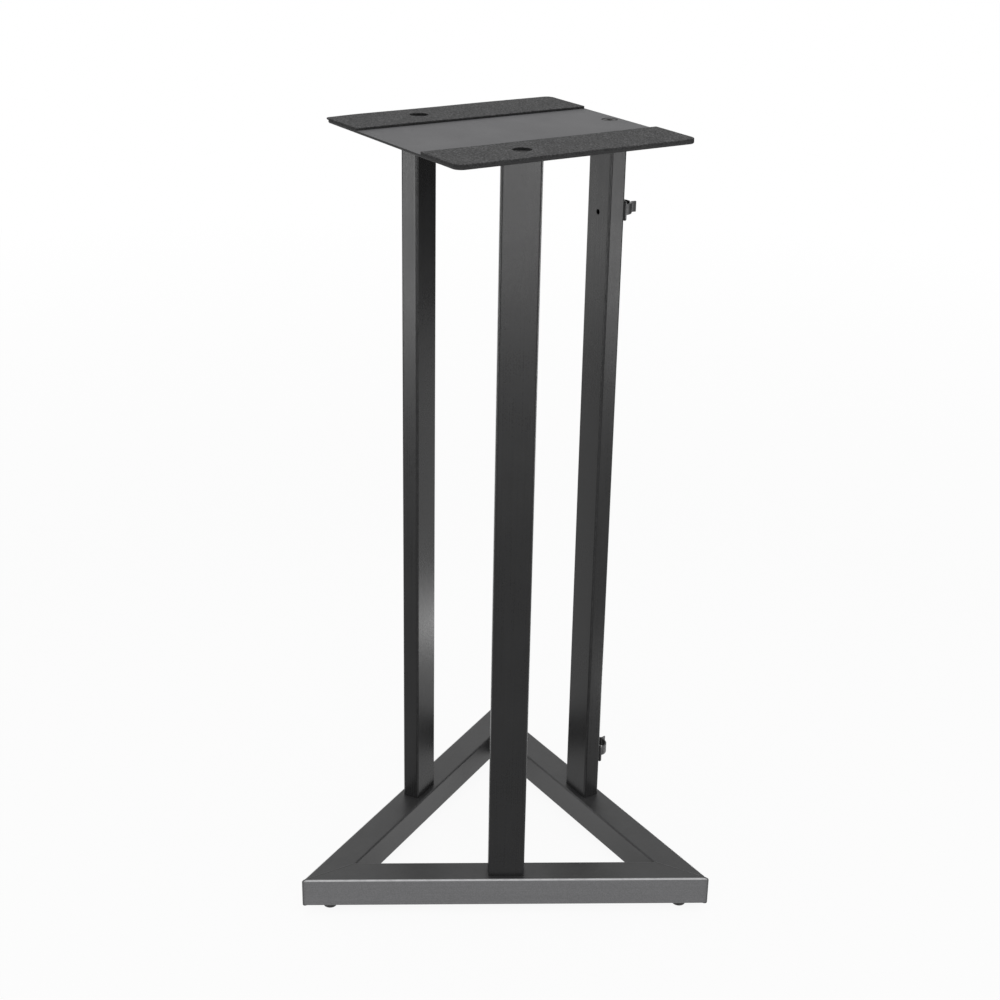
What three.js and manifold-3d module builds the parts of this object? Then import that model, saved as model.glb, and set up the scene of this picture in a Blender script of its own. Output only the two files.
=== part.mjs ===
// Speaker stand: three square rails mitred into a triangle, three upright tubes bolted to
// their middles, and a steel top plate with two soft pads. Units are millimetres, +Z is up.
// The stand rests on z = 0. The triangle's rear rail runs along X and its front corner
// points along -Y. The origin lies on the floor under the middle of the stand's outline.

import * as THREE from 'three';
import { mergeVertices } from 'three/addons/utils/BufferGeometryUtils.js';
import Module from 'manifold-3d';

const wasm = await Module();
wasm.setup();

// Clearances
const seatGap = 0.3;             // between steel pieces that stand or bear on each other
const glueGap = 0.1;             // between a bonded piece and what it is bonded to
const boltClearance = 0.3;       // all round a bolt in its hole

// Base triangle
const baseSide = 429;            // outer side, from corner to corner
const railWidth = 32;
const railHeight = 32;
const railWall = 1.5;
const railCorner = 2;            // outer radius of the tube's long edges
const keyHoleDiameter = 18;      // opening under each base bolt, for the bolt and its key

// Upright posts
const postLength = 762;
const postWidth = 38;            // along the rail
const postDepth = 19;            // across the rail
const postWall = 1.5;
const postCorner = 2.5;
const plugThickness = 6;         // threaded plug in each end of a post
const cableHoleDiameter = 5.5;   // in the rear post's inner face
const cableHoleDrop = 88;        // from the post's top end

// Top plate and pads
const plateWidth = 250;          // along X
const plateDepth = 260;          // along Y
const plateThickness = 2.5;
const plateCorner = 9;
const plateForward = 10;         // plate's middle ahead of the triangle's middle
const padWidth = 65;
const padThickness = 3;
const padHoleDiameter = 18;

// Fasteners
const boltDiameter = 8;
const screwHeadDiameter = 15.4;  // countersunk plate screws
const screwHeadLand = 0.3;       // straight rim above the head's cone
const screwHeadRecess = 0.15;    // how far the head lies below the plate's top
const screwLength = 16;
const screwSocket = 5;           // across the flats
const boltHeadDiameter = 13;     // socket head base bolts
const boltHeadHeight = 8;
const boltLength = 14;
const boltSocket = 6;
const socketDepth = 3;
const endChamfer = 0.8;          // at the tips of screws and bolts
const headChamfer = 0.6;
const washerDiameter = 16;
const washerThickness = 1.6;

// Push-in feet
const footDiameter = 15;
const footHeight = 9;
const footRound = 1.2;
const stemDiameter = 7;
const barbDiameter = 9;
const barbLength = 4;
const stemClearance = 0.3;

// Cable clips on the rear post
const clipWidth = 37;            // along X
const clipHeight = 20;           // along Z
const clipBase = 2.2;            // thickness of the clip's base
const clipBaseCorner = 2;
const tapeThickness = 0.9;
const tapeMargin = 1;            // how far the tape stays inside the clip's base
const armHeight = 11;            // along Z
const armThickness = 1.6;
const hoopHalfWidth = 12.5;      // middle of the arm, from the clip's middle
const hoopShoulder = 4.4;        // straight leg above the base
const hoopRise = 10.7;           // from the shoulder to the crown
const plainArmEnd = 97;          // degrees round the hoop, from the arm's own side
const flareStart = 62;
const lipLength = 6.8;
const upperClipDrop = 86;        // clip's middle below the post's top end
const lowerClipRise = 51;        // clip's middle above the post's bottom end

// Facets
const roundSegments = 32;
const cornerSegments = 5;

const inradius = baseSide / (2 * Math.sqrt(3));
const circumradius = baseSide / Math.sqrt(3);
const railBottom = footHeight + seatGap;
const railTop = railBottom + railHeight;
const railMiddle = inradius - railWidth / 2;
const postBottom = railTop + seatGap;
const postTop = postBottom + postLength;
const plateBottom = postTop + seatGap;
const plateTop = plateBottom + plateThickness;

const steelBlack = { color: 0x1b1b1c, roughness: 0.45, metalness: 0.35 };
const boltBlack = { color: 0x161617, roughness: 0.35, metalness: 0.8 };
const zincSteel = { color: 0xa9abad, roughness: 0.4, metalness: 1 };
const foamBlack = { color: 0x2a2a2b, roughness: 0.95, metalness: 0 };
const rubberBlack = { color: 0x141414, roughness: 0.85, metalness: 0 };
const clipBlack = { color: 0x242425, roughness: 0.55, metalness: 0 };
const tapeGrey = { color: 0x3a3a3c, roughness: 0.9, metalness: 0 };

function makeMesh(name, geometry, look) {
  const mesh = new THREE.Mesh(geometry, new THREE.MeshStandardMaterial(look));
  mesh.name = name;
  return mesh;
}

// Boolean helpers: a closed geometry becomes a solid and back.
function toSolid(geometry) {
  const bare = geometry.clone();
  bare.deleteAttribute('normal');
  bare.deleteAttribute('uv');
  const merged = mergeVertices(bare, 1e-4);
  const vertProperties = new Float32Array(merged.attributes.position.array);
  const triVerts = new Uint32Array(merged.index.array);
  return new wasm.Manifold(new wasm.Mesh({ numProp: 3, vertProperties, triVerts }));
}

function toGeometry(solid) {
  const mesh = solid.getMesh();
  const geometry = new THREE.BufferGeometry();
  geometry.setAttribute('position', new THREE.BufferAttribute(mesh.vertProperties, 3));
  geometry.setIndex(new THREE.BufferAttribute(mesh.triVerts, 1));
  geometry.computeVertexNormals();
  return geometry;
}

function cut(geometry, ...cutters) {
  const solid = cutters.reduce((left, cutter) => left.subtract(toSolid(cutter)), toSolid(geometry));
  return toGeometry(solid);
}

function join(first, ...others) {
  const solid = others.reduce((whole, other) => whole.add(toSolid(other)), toSolid(first));
  return toGeometry(solid);
}

// Rectangle with its four corners rounded, about the origin of its own plane.
function roundedRectangle(width, height, radius, Kind = THREE.Shape) {
  const x = width / 2;
  const y = height / 2;
  const outline = new Kind();
  outline.moveTo(-x + radius, -y);
  outline.lineTo(x - radius, -y);
  outline.absarc(x - radius, -y + radius, radius, -Math.PI / 2, 0, false);
  outline.lineTo(x, y - radius);
  outline.absarc(x - radius, y - radius, radius, 0, Math.PI / 2, false);
  outline.lineTo(-x + radius, y);
  outline.absarc(-x + radius, y - radius, radius, Math.PI / 2, Math.PI, false);
  outline.lineTo(-x, -y + radius);
  outline.absarc(-x + radius, -y + radius, radius, Math.PI, 1.5 * Math.PI, false);
  return outline;
}

// Rectangular tube section: the bore's corners keep the wall's thickness.
function tubeSection(width, height, wall, radius) {
  const section = roundedRectangle(width, height, radius);
  const boreRadius = Math.max(radius - wall, wall / 4);
  section.holes.push(roundedRectangle(width - 2 * wall, height - 2 * wall, boreRadius, THREE.Path));
  return section;
}

function extrude(shape, depth, curveSegments = cornerSegments) {
  return new THREE.ExtrudeGeometry(shape, { depth, bevelEnabled: false, curveSegments });
}

function rod(diameter, bottom, top, x, y, segments = roundSegments) {
  const cylinder = new THREE.CylinderGeometry(diameter / 2, diameter / 2, top - bottom, segments);
  return cylinder.rotateX(Math.PI / 2).translate(x, y, (bottom + top) / 2);
}

function lathe(profile) {
  const points = profile.map(([radius, height]) => new THREE.Vector2(radius, height));
  return new THREE.LatheGeometry(points, roundSegments).rotateX(Math.PI / 2);
}

// Distance of a foot's middle from the triangle's middle: where two rails' middle lines cross.
const footReach = circumradius - railWidth;
const footX = footReach * Math.cos(Math.PI / 6);
const footY = footReach * Math.sin(Math.PI / 6);

// A rail along X: the tube is cut by the two planes that halve the triangle's corners, then
// drilled for its bolt, the key and the stems of the feet.
function railGeometry() {
  const tube = extrude(tubeSection(railHeight, railWidth, railWall, railCorner), baseSide);
  tube.rotateY(Math.PI / 2).translate(-baseSide / 2, railMiddle, railBottom + railHeight / 2);
  const apex = seatGap / 2 / Math.sin(Math.PI / 3);
  const reach = inradius + railWidth;
  const spread = (reach - apex) * Math.tan(Math.PI / 3);
  const sector = new THREE.Shape();
  sector.moveTo(0, apex);
  sector.lineTo(spread, reach);
  sector.lineTo(-spread, reach);
  const wedge = extrude(sector, 2 * railHeight).translate(0, 0, railBottom - railHeight / 2);
  const mitred = toGeometry(toSolid(tube).intersect(toSolid(wedge)));
  const stemHole = stemDiameter + 2 * stemClearance;
  const inside = railBottom + railHeight / 2;
  return cut(
    mitred,
    boltDrill(railTop - railWall, railWall),
    rod(keyHoleDiameter, railBottom - railWall, inside, 0, railMiddle),
    rod(stemHole, railBottom - railWall, inside, footX, footY),
    rod(stemHole, railBottom - railWall, inside, -footX, footY),
  );
}

// Middle of the post on one side of the triangle, seen from above.
function postPlace(turn) {
  return new THREE.Vector2(0, railMiddle).rotateAround(new THREE.Vector2(), turn);
}

function postGeometry() {
  const tube = extrude(tubeSection(postWidth, postDepth, postWall, postCorner), postLength);
  return tube.translate(0, railMiddle, postBottom);
}

// The rear post has one more hole, in the face that looks at the stand's middle.
function rearPostGeometry() {
  const hole = new THREE.CylinderGeometry(
    cableHoleDiameter / 2, cableHoleDiameter / 2, postDepth, roundSegments);
  hole.translate(0, railMiddle - postDepth / 2, postTop - cableHoleDrop);
  return cut(postGeometry(), hole);
}

// Countersunk screw shape on the Z axis, larger all round by a clearance, up to a given top.
const screwTop = plateTop - screwHeadRecess;

function countersunk(clearance, top) {
  const head = screwHeadDiameter / 2 + clearance;
  const shank = boltDiameter / 2 + clearance;
  const rim = screwTop - screwHeadLand;
  const bottom = screwTop - screwLength - clearance;
  return lathe([
    [0, bottom],
    [shank - endChamfer, bottom],
    [shank, bottom + endChamfer],
    [shank, rim - (head - shank)],
    [head, rim],
    [head, top],
    [0, top],
  ]);
}

function hexagon(acrossFlats, bottom, top) {
  return rod(acrossFlats / Math.cos(Math.PI / 6), bottom, top, 0, 0, 6);
}

function plateScrewGeometry() {
  const socket = hexagon(screwSocket, screwTop - socketDepth, screwTop + screwHeadLand);
  return cut(countersunk(0, screwTop), socket).translate(0, railMiddle, 0);
}

// What a plate screw cuts out of the plate and of the plug under it.
function screwCutter(place) {
  return countersunk(boltClearance, plateTop + plateThickness).translate(place.x, place.y, 0);
}

// Drill for a base bolt, right through a piece of a given bottom and thickness.
function boltDrill(bottom, thickness) {
  const hole = boltDiameter + 2 * boltClearance;
  return rod(hole, bottom - thickness, bottom + 2 * thickness, 0, railMiddle);
}

// Threaded plug in a post's end: a steel block that fills the bore.
function plugGeometry(bottom) {
  const width = postWidth - 2 * postWall - 2 * seatGap;
  const depth = postDepth - 2 * postWall - 2 * seatGap;
  const block = extrude(roundedRectangle(width, depth, postCorner), plugThickness);
  return block.translate(0, railMiddle, bottom);
}

function topPlugGeometry() {
  return cut(plugGeometry(postTop - plugThickness), screwCutter(postPlace(0)));
}

function bottomPlugGeometry() {
  return cut(plugGeometry(postBottom), boltDrill(postBottom, plugThickness));
}

// Washer and bolt bear on the rail's top wall from inside the rail.
const washerTop = railTop - railWall - seatGap;
const boltHeadTop = washerTop - washerThickness - seatGap;

function washerGeometry() {
  const bottom = washerTop - washerThickness;
  const disc = rod(washerDiameter, bottom, washerTop, 0, railMiddle);
  return cut(disc, boltDrill(bottom, washerThickness));
}

function baseBoltGeometry() {
  const head = boltHeadDiameter / 2;
  const shank = boltDiameter / 2;
  const bottom = boltHeadTop - boltHeadHeight;
  const tip = boltHeadTop + boltLength;
  const body = lathe([
    [0, bottom],
    [head - headChamfer, bottom],
    [head, bottom + headChamfer],
    [head, boltHeadTop],
    [shank, boltHeadTop],
    [shank, tip - endChamfer],
    [shank - endChamfer, tip],
    [0, tip],
  ]);
  const socket = hexagon(boltSocket, bottom - headChamfer, bottom + socketDepth);
  return cut(body, socket).translate(0, railMiddle, 0);
}

// Rubber foot pushed into the rails' underside: a disc, a stem and a barb inside the tube.
function footGeometry() {
  const disc = footDiameter / 2;
  const stem = stemDiameter / 2;
  const barb = barbDiameter / 2;
  const barbBottom = railBottom + railWall + seatGap;
  const roundSteps = 4;
  const edge = Array.from({ length: roundSteps + 1 }, (unused, step) => {
    const angle = -Math.PI / 2 + (Math.PI / 2) * (step / roundSteps);
    return [disc - footRound + footRound * Math.cos(angle), footRound + footRound * Math.sin(angle)];
  });
  return lathe([
    [0, 0],
    ...edge,
    [disc, footHeight],
    [stem, footHeight],
    [stem, barbBottom],
    [barb, barbBottom],
    [stem - 1, barbBottom + barbLength],
    [0, barbBottom + barbLength],
  ]).translate(footX, footY, 0);
}

function plateGeometry(turns) {
  const plate = extrude(roundedRectangle(plateWidth, plateDepth, plateCorner), plateThickness);
  plate.translate(0, -plateForward, plateBottom);
  return cut(plate, ...turns.map((turn) => screwCutter(postPlace(turn))));
}

// A pad covers one edge of the plate and follows its rounded corners. A round hole leaves
// the screw under it free. side is 1 on the right and -1 on the left.
function padGeometry(side, turn) {
  const outer = plateWidth / 2;
  const inner = outer - padWidth;
  const front = -plateForward - plateDepth / 2;
  const rear = -plateForward + plateDepth / 2;
  const outline = new THREE.Shape();
  outline.moveTo(inner, front);
  outline.lineTo(outer - plateCorner, front);
  outline.absarc(outer - plateCorner, front + plateCorner, plateCorner, -Math.PI / 2, 0, false);
  outline.lineTo(outer, rear - plateCorner);
  outline.absarc(outer - plateCorner, rear - plateCorner, plateCorner, 0, Math.PI / 2, false);
  outline.lineTo(inner, rear);
  const place = postPlace(turn);
  const hole = new THREE.Path();
  hole.absarc(place.x * side, place.y, padHoleDiameter / 2, 0, 2 * Math.PI, true);
  outline.holes.push(hole);
  const pad = extrude(outline, padThickness, roundSegments / 2);
  if (side < 0) {
    pad.rotateY(Math.PI).translate(0, 0, padThickness);
  }
  return pad.translate(0, 0, plateTop + glueGap);
}

// Middle line of a clip's arm on the +X side, from inside the base up round the hoop.
function armLine(endDegrees, lip) {
  const line = new THREE.CurvePath();
  const foot = new THREE.Vector2(hoopHalfWidth, clipBase / 2);
  const shoulder = new THREE.Vector2(hoopHalfWidth, clipBase + hoopShoulder);
  line.add(new THREE.LineCurve(foot, shoulder));
  const end = THREE.MathUtils.degToRad(endDegrees);
  line.add(new THREE.EllipseCurve(0, shoulder.y, hoopHalfWidth, hoopRise, 0, end, false));
  if (lip > 0) {
    const start = line.getPoint(1);
    const along = new THREE.Vector2(-hoopHalfWidth * Math.sin(end), hoopRise * Math.cos(end));
    const turnIn = start.clone().addScaledVector(along.normalize(), lip * 0.4);
    const tip = new THREE.Vector2(start.x - lip * 0.1, start.y + lip);
    const turnOut = new THREE.Vector2(tip.x - lip * 0.15, tip.y - lip * 0.5);
    line.add(new THREE.CubicBezierCurve(start, turnIn, turnOut, tip));
  }
  return line;
}

// Band of even thickness along a middle line, as a closed outline.
function bandShape(line, thickness, steps) {
  const left = [];
  const right = [];
  for (let step = 0; step <= steps; step += 1) {
    const point = line.getPointAt(step / steps);
    const along = line.getTangentAt(step / steps);
    const across = new THREE.Vector2(-along.y, along.x).multiplyScalar(thickness / 2);
    left.push(point.clone().add(across));
    right.unshift(point.clone().sub(across));
  }
  return new THREE.Shape([...left, ...right]);
}

// Clip seen from above: a flat base, a plain arm and an arm whose end flares outwards.
// Its base lies at y = 0 and z = 0 is the middle of its height.
function clipGeometry() {
  const base = extrude(roundedRectangle(clipWidth, clipHeight, clipBaseCorner), clipBase);
  base.rotateX(Math.PI / 2).translate(0, clipBase, 0);
  const armSteps = 28;
  const flared = extrude(bandShape(armLine(flareStart, lipLength), armThickness, armSteps), armHeight);
  const plain = extrude(bandShape(armLine(plainArmEnd, 0), armThickness, armSteps), armHeight);
  flared.translate(0, 0, -armHeight / 2);
  plain.rotateY(Math.PI).translate(0, 0, armHeight / 2);
  return join(base, flared, plain);
}

function addClip(group, level, place, turned) {
  const face = railMiddle + postDepth / 2;
  const tapeShape = roundedRectangle(clipWidth - 2 * tapeMargin, clipHeight - 2 * tapeMargin, tapeMargin);
  const tape = extrude(tapeShape, tapeThickness).rotateX(Math.PI / 2);
  const tapeMesh = makeMesh(`clip_tape_${level}`, tape, tapeGrey);
  tapeMesh.position.set(0, face + glueGap + tapeThickness, place);
  const clip = makeMesh(`cable_clip_${level}`, clipGeometry(), clipBlack);
  clip.position.set(0, face + tapeThickness + 2 * glueGap, place);
  clip.rotation.y = turned ? Math.PI : 0;
  group.add(tapeMesh, clip);
}

// One side of the triangle: its rail, the post in its middle and what fastens them.
function buildSide(name, turn) {
  const side = new THREE.Group();
  side.rotation.z = turn;
  const post = name === 'rear' ? rearPostGeometry() : postGeometry();
  side.add(
    makeMesh(`base_rail_${name}`, railGeometry(), steelBlack),
    makeMesh(`post_${name}`, post, steelBlack),
    makeMesh(`post_${name}_top_plug`, topPlugGeometry(), zincSteel),
    makeMesh(`post_${name}_bottom_plug`, bottomPlugGeometry(), zincSteel),
    makeMesh(`plate_screw_${name}`, plateScrewGeometry(), boltBlack),
    makeMesh(`base_bolt_${name}`, baseBoltGeometry(), boltBlack),
    makeMesh(`base_washer_${name}`, washerGeometry(), zincSteel),
  );
  return side;
}

const sideTurns = { rear: 0, right: -2 * Math.PI / 3, left: 2 * Math.PI / 3 };
const footNames = { rear: 'foot_rear_right', right: 'foot_front', left: 'foot_rear_left' };

const stand = new THREE.Group();
for (const [name, turn] of Object.entries(sideTurns)) {
  const side = buildSide(name, turn);
  side.add(makeMesh(footNames[name], footGeometry(), rubberBlack));
  if (name === 'rear') {
    addClip(side, 'upper', postTop - upperClipDrop, false);
    addClip(side, 'lower', postBottom + lowerClipRise, true);
  }
  stand.add(side);
}
stand.add(
  makeMesh('top_plate', plateGeometry(Object.values(sideTurns)), steelBlack),
  makeMesh('pad_right', padGeometry(1, sideTurns.right), foamBlack),
  makeMesh('pad_left', padGeometry(-1, sideTurns.left), foamBlack),
);

const outlineMiddle = new THREE.Box3().setFromObject(stand, true).getCenter(new THREE.Vector3());
stand.position.set(-outlineMiddle.x, -outlineMiddle.y, 0);

export default stand;
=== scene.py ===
import math

import bmesh
import bpy
import numpy as np
from mathutils import Matrix, Vector


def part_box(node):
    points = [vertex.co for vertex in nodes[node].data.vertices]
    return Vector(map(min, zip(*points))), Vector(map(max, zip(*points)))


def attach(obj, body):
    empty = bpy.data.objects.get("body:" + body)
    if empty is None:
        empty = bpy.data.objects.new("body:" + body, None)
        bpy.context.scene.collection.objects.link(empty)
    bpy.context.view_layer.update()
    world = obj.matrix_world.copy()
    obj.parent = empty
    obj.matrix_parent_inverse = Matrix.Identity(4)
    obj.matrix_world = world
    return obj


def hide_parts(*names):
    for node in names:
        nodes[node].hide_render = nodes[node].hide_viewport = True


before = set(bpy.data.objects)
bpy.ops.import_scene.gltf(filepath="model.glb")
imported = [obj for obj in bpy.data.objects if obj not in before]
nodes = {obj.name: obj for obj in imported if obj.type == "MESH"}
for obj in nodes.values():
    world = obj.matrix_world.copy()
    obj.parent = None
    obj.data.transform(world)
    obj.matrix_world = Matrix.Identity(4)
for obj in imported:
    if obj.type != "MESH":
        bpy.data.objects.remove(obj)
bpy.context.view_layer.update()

scene = bpy.context.scene
mm = 0.001


def middle(node):
    low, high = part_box(node)
    return (low + high) / 2


def roundTurn(count):
    # that many angles, evenly spread over a full turn
    return np.linspace(0, 2 * math.pi, count, endpoint=False)


def boxCorners(width, height):
    # corners of a rectangle about the origin, anticlockwise
    x, y = width / 2, height / 2
    return [(-x, -y), (x, -y), (x, y), (-x, y)]


def ringAt(flat, height):
    # flat points (x, y) lifted to one height
    return np.column_stack([flat, np.full(len(flat), height)])


def gridFaces(rows, columns, wrapRows=False):
    # quads between neighbouring rows and columns; the columns always close on themselves
    row, column = np.meshgrid(np.arange(rows if wrapRows else rows - 1), np.arange(columns), indexing="ij")
    nextRow, nextColumn = (row + 1) % rows, (column + 1) % columns
    corners = (row * columns + column, row * columns + nextColumn,
               nextRow * columns + nextColumn, nextRow * columns + column)
    return np.stack(corners, -1).reshape(-1, 4)


def fanFaces(pole, ring):
    # triangles from one pole point to a closed ring of point numbers
    return np.stack([np.full(len(ring), pole), ring, np.roll(ring, -1)], -1)


def closedSkin(rings):
    # rings (rows, columns, 3) become a closed skin: quads between rings and a fan at each end,
    # whose pole is the mean of the end ring
    rows, columns = rings.shape[:2]
    count = rows * columns
    points = np.vstack([rings.reshape(-1, 3), rings[0].mean(0), rings[-1].mean(0)])
    first, last = np.arange(columns), np.arange(count - columns, count)
    faces = gridFaces(rows, columns).tolist()
    faces += fanFaces(count, first[::-1]).tolist() + fanFaces(count + 1, last).tolist()
    return points, faces


def ringSkin(rings):
    # rings whose last row meets the first again, as on a hoop or a slab with a hole
    rows, columns = rings.shape[:2]
    return rings.reshape(-1, 3), gridFaces(rows, columns, wrapRows=True).tolist()


def signedVolume(points, faces):
    # sum of the tetrahedra from the origin to each face's fan of triangles
    total = 0.0
    for size in (3, 4):
        some = np.array([face for face in faces if len(face) == size])
        for step in range(size - 2) if len(some) else ():
            a, b, c = (points[some[:, k]] for k in (0, step + 1, step + 2))
            total += np.einsum("ij,ij->i", a, np.cross(b, c)).sum() / 6
    return total


def facingOut(skin):
    # the same skin, with its faces turned round if they point inwards
    points, faces = skin
    if signedVolume(points, faces) < 0:
        faces = [face[::-1] for face in faces]
    return points, faces


def joinSkins(*skins):
    # several closed skins in one mesh
    points, faces, start = [], [], 0
    for skin in skins:
        somePoints, someFaces = facingOut(skin)
        points.append(somePoints)
        faces += [[start + number for number in face] for face in someFaces]
        start += len(somePoints)
    return np.vstack(points), faces


def evenPoints(path, count, closed):
    # points at even lengths along a path, and those lengths
    length = np.r_[0, np.cumsum(np.linalg.norm(np.diff(path, axis=0), axis=1))]
    at = np.linspace(0, length[-1], count, endpoint=not closed)
    return np.column_stack([np.interp(at, length, path[:, k]) for k in (0, 1)]), at


def outlinePoints(corners, radii, count, arcPoints=17):
    # a polygon's corners (in turn, anticlockwise) rounded by arcs, then resampled evenly;
    # each arc is the circle that touches both sides of its corner
    corners = np.asarray(corners, float)
    arcs = []
    for number, radius in enumerate(radii):
        corner = corners[number]
        before = corners[number - 1] - corner
        after = corners[(number + 1) % len(corners)] - corner
        before, after = before / np.linalg.norm(before), after / np.linalg.norm(after)
        half = math.acos(np.clip(before @ after, -1, 1)) / 2
        inward = (before + after) / np.linalg.norm(before + after)
        centre = corner + inward * radius / math.sin(half)
        start = math.atan2(*(corner + before * radius / math.tan(half) - centre)[::-1])
        angle = start + np.linspace(0, math.pi - 2 * half, arcPoints)
        arcs.append(centre + radius * np.stack([np.cos(angle), np.sin(angle)], -1))
    return evenPoints(np.vstack(arcs + [arcs[0][:1]]), count, closed=True)[0]


def outwardNormals(outline):
    # the way along the outline at each point, turned a quarter to face outwards
    along = np.roll(outline, -1, 0) - np.roll(outline, 1, 0)
    along /= np.linalg.norm(along, axis=1)[:, None]
    return np.stack([along[:, 1], -along[:, 0]], -1)


def quarterRound(radius, steps):
    # inset and drop along a quarter circle, from the flat face to the side wall
    angle = np.linspace(0, math.pi / 2, steps + 1)
    return radius * (1 - np.sin(angle)), radius * (1 - np.cos(angle))


def addObject(name, data):
    thing = bpy.data.objects.new(name, data)
    scene.collection.objects.link(thing)
    return thing


def finishMesh(mesh, material, sharpDegrees):
    # shaded round, with edges that turn by more than that angle kept sharp
    mesh.polygons.foreach_set("use_smooth", np.ones(len(mesh.polygons), bool))
    mesh.set_sharp_from_angle(angle=math.radians(sharpDegrees))
    mesh.materials.append(material)
    mesh.update()


def makePiece(name, skin, material, replaced=(), sharpDegrees=35):
    points, faces = facingOut(skin)
    mesh = bpy.data.meshes.new(name)
    mesh.from_pydata(points.tolist(), [], faces)
    finishMesh(mesh, material, sharpDegrees)
    piece = addObject(name, mesh)
    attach(piece, "root")
    if replaced:
        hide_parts(*replaced)
    return piece


steelSkin = {
    "mergeDistance": 0.001 * mm, "flatDegrees": 0.5, "sharpDegrees": 40, "underReach": 0.01 * mm,
    "outlineReach": 9.5 * mm, "underSteps": 4, "bevelSteps": 2, "bevelDegrees": 50,
}


def underOutline(point, low, high):
    # on the lower face of a box and near its outline
    gap = min(point.x - low.x, high.x - point.x, point.y - low.y, high.y - point.y)
    return point.z < low.z + steelSkin["underReach"] and gap < steelSkin["outlineReach"]


def smoothCopy(node, material, slot, bevel=0.0, underRound=0.0):
    # a copy of a CAD solid, merged, with round corners shaded round and flat faces kept flat;
    # underRound is the radius on the lower edge of its outline
    shape = bmesh.new()
    shape.from_mesh(nodes[node].data)
    bmesh.ops.remove_doubles(shape, verts=shape.verts, dist=steelSkin["mergeDistance"])
    bmesh.ops.dissolve_limit(shape, angle_limit=math.radians(steelSkin["flatDegrees"]),
                             verts=shape.verts, edges=shape.edges)
    if underRound:
        low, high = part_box(node)
        under = [edge for edge in shape.edges
                 if all(underOutline(vert.co, low, high) for vert in edge.verts)]
        bmesh.ops.bevel(shape, geom=under, offset=underRound, segments=steelSkin["underSteps"],
                        profile=0.5, affect="EDGES")
    mesh = bpy.data.meshes.new(f"{node}_skin")
    shape.to_mesh(mesh)
    shape.free()
    finishMesh(mesh, material, steelSkin["sharpDegrees"])
    piece = addObject(f"{node}_skin", mesh)
    if bevel:
        rounding = piece.modifiers.new("edges", "BEVEL")
        rounding.width = bevel
        rounding.segments = steelSkin["bevelSteps"]
        rounding.limit_method = "ANGLE"
        rounding.angle_limit = math.radians(steelSkin["bevelDegrees"])
    flat = piece.modifiers.new("flatFaces", "WEIGHTED_NORMAL")
    flat.keep_sharp = True
    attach(piece, "root")
    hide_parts(node)


def newGroup(name, amounts, outputs):
    # a shader group with a vector input, number inputs with their defaults, and number outputs
    group = bpy.data.node_groups.new(name, "ShaderNodeTree")
    group.interface.new_socket("Vector", in_out="INPUT", socket_type="NodeSocketVector")
    for label, value in amounts.items():
        socket = group.interface.new_socket(label, in_out="INPUT", socket_type="NodeSocketFloat")
        socket.default_value = value
    for label in outputs:
        group.interface.new_socket(label, in_out="OUTPUT", socket_type="NodeSocketFloat")
    return group, group.nodes.new("NodeGroupInput"), group.nodes.new("NodeGroupOutput")


def addNode(tree, kind, **settings):
    node = tree.nodes.new(kind)
    for key, value in settings.items():
        setattr(node, key, value)
    return node


def setInput(tree, socket, value):
    # a number or a colour is written on the socket, anything else is linked to it
    if isinstance(value, (int, float)):
        socket.default_value = value
    elif isinstance(value, tuple):
        socket.default_value = (*value, 1.0)
    else:
        tree.links.new(value, socket)


def mathNode(tree, operation, *values, clamp=False):
    node = addNode(tree, "ShaderNodeMath", operation=operation, use_clamp=clamp)
    for number, value in enumerate(values):
        setInput(tree, node.inputs[number], value)
    return node.outputs[0]


def productNode(tree, first, *others):
    # masks and shares multiplied together, kept between 0 and 1
    for other in others:
        first = mathNode(tree, "MULTIPLY", first, other, clamp=True)
    return first


def blendNode(tree, first, second, share):
    # two values added, of which the share is the second's
    return mathNode(tree, "ADD", mathNode(tree, "MULTIPLY", first, 1 - share),
                    mathNode(tree, "MULTIPLY", second, share))


def rangeNode(tree, value, low, high, toLow=0.0, toHigh=1.0):
    node = addNode(tree, "ShaderNodeMapRange", clamp=True)
    tree.links.new(value, node.inputs["Value"])
    for label, number in (("From Min", low), ("From Max", high), ("To Min", toLow), ("To Max", toHigh)):
        node.inputs[label].default_value = number
    return node.outputs["Result"]


def noiseNode(tree, vector, scale, detail, roughness):
    node = addNode(tree, "ShaderNodeTexNoise")
    node.inputs["Detail"].default_value = detail
    node.inputs["Roughness"].default_value = roughness
    tree.links.new(vector, node.inputs["Vector"])
    setInput(tree, node.inputs["Scale"], scale)
    return node.outputs["Fac"]


def noiseMask(tree, vector, noise, limits):
    # a noise (scale, detail, roughness) spread over limits (from low, from high, to low, to high)
    return rangeNode(tree, noiseNode(tree, vector, *noise), *limits)


def mixColour(tree, factor, first, second):
    node = addNode(tree, "ShaderNodeMix", data_type="RGBA")
    for label, value in (("Factor", factor), ("A", first), ("B", second)):
        setInput(tree, node.inputs[label], value)
    return node.outputs["Result"]


def axesOf(tree, vector):
    node = addNode(tree, "ShaderNodeSeparateXYZ")
    tree.links.new(vector, node.inputs[0])
    return node.outputs


def facingUp(tree, low, high):
    # the upright part of the face's normal, from 0 at low to 1 at high
    normal = addNode(tree, "ShaderNodeNewGeometry").outputs["Normal"]
    return rangeNode(tree, axesOf(tree, normal)["Z"], low, high)


peelPattern = {                     # detail and roughness of each noise, and the limits it is spread over
    "grain": (3.0, 0.6), "height": (0.3, 0.7), "tone": (0.35, 0.65),
    "cloud": (4.0, 0.55), "cloudLimits": (0.35, 0.65),
}


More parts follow.
